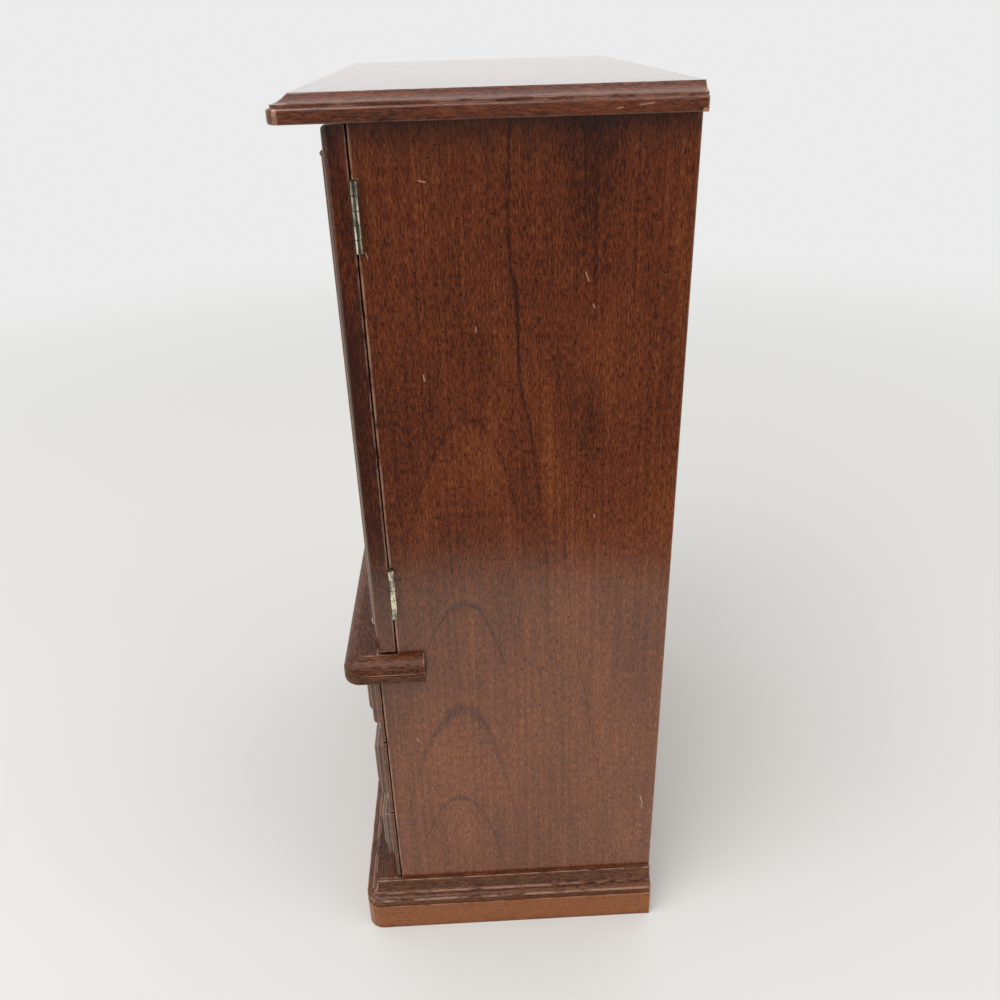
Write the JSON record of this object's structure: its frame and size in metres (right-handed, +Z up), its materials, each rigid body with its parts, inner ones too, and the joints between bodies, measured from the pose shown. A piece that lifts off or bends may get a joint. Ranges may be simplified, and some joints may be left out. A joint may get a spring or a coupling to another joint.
{
  "type": "desktop cabinet with doors",
  "caption": "Small upright tabletop cabinet of stained wood with a moulded top, waist and base, hinged panelled doors above stacked overlay drawers.",
  "frame": {"origin": "centre of the footprint, on the surface that the cabinet stands on", "axes": "+Z up, -Y out of the front with its doors and drawers, +X to the right of someone who faces the front"},
  "size_m": [0.254, 0.1494, 0.4061],
  "materials": {
    "stained_wood": "satin lacquer over a reddish brown stain",
    "drawer_wood": "plain, lightly stained",
    "plywood": "thin plywood, lightly stained",
    "hinge_brass": "antique, dulled",
    "knob_brass": "antique, lightly polished",
    "steel": "plain",
    "catch_plastic": "matt brown",
    "felt": "short pile"
  },
  "bodies": {
    "cabinet": {"back_panel": "plywood", "back_panel_nails": "steel", "base_moulding_front": "stained_wood", "base_moulding_left": "stained_wood", "base_moulding_right": "stained_wood", "bottom_board": "drawer_wood", "catch_body": "catch_plastic", "catch_magnets": "steel", "catch_screws": "steel", "drawer_divider_lower": "drawer_wood", "drawer_divider_upper": "drawer_wood", "felt_back": "felt", "felt_floor": "felt", "hinge_frame_leaves_left": "hinge_brass", "hinge_frame_leaves_right": "hinge_brass", "hinge_frame_screws": "hinge_brass", "hinge_pins_left": "hinge_brass", "hinge_pins_right": "hinge_brass", "hook_rail": "stained_wood", "necklace_hooks": "knob_brass", "side_panel_left": "stained_wood", "side_panel_right": "stained_wood", "top_board": "stained_wood", "waist_board": "stained_wood", "waist_moulding_front": "stained_wood", "waist_moulding_left": "stained_wood", "waist_moulding_right": "stained_wood"},
    "door_left": {"door_bead_left": "stained_wood", "door_knob_left": "knob_brass", "door_panel_left": "stained_wood", "door_strike_left": "steel", "hinge_door_leaves_left": "hinge_brass", "hinge_door_screws_left": "hinge_brass"},
    "door_right": {"door_bead_right": "stained_wood", "door_knob_right": "knob_brass", "door_panel_right": "stained_wood", "door_strike_right": "steel", "hinge_door_leaves_right": "hinge_brass", "hinge_door_screws_right": "hinge_brass"},
    "drawer_bottom": {"drawer_bottom_back": "drawer_wood", "drawer_bottom_bottom": "plywood", "drawer_bottom_felt": "felt", "drawer_bottom_front": "stained_wood", "drawer_bottom_knob": "knob_brass", "drawer_bottom_side_left": "drawer_wood", "drawer_bottom_side_right": "drawer_wood"},
    "drawer_middle": {"drawer_middle_back": "drawer_wood", "drawer_middle_bottom": "plywood", "drawer_middle_felt": "felt", "drawer_middle_front": "stained_wood", "drawer_middle_knob": "knob_brass", "drawer_middle_side_left": "drawer_wood", "drawer_middle_side_right": "drawer_wood"},
    "drawer_top": {"drawer_top_back": "drawer_wood", "drawer_top_bottom": "plywood", "drawer_top_felt": "felt", "drawer_top_front": "stained_wood", "drawer_top_knob": "knob_brass", "drawer_top_side_left": "drawer_wood", "drawer_top_side_right": "drawer_wood"}
  },
  "joints": [
    {"name": "door_left_hinge", "type": "hinge", "parent": "cabinet", "child": "door_left", "pos_m": [-0.1214, -0.04585, 0.28585], "axis": [0, 0, -1], "range_deg": [0, 180]},
    {"name": "door_right_hinge", "type": "hinge", "parent": "cabinet", "child": "door_right", "pos_m": [0.1214, -0.04585, 0.28585], "axis": [0, 0, 1], "range_deg": [0, 180]},
    {"name": "drawer_bottom_slide", "type": "slide", "parent": "cabinet", "child": "drawer_bottom", "axis": [0, -1, 0], "range_m": [0, 0.085]},
    {"name": "drawer_middle_slide", "type": "slide", "parent": "cabinet", "child": "drawer_middle", "axis": [0, -1, 0], "range_m": [0, 0.085]},
    {"name": "drawer_top_slide", "type": "slide", "parent": "cabinet", "child": "drawer_top", "axis": [0, -1, 0], "range_m": [0, 0.085]}
  ]
}
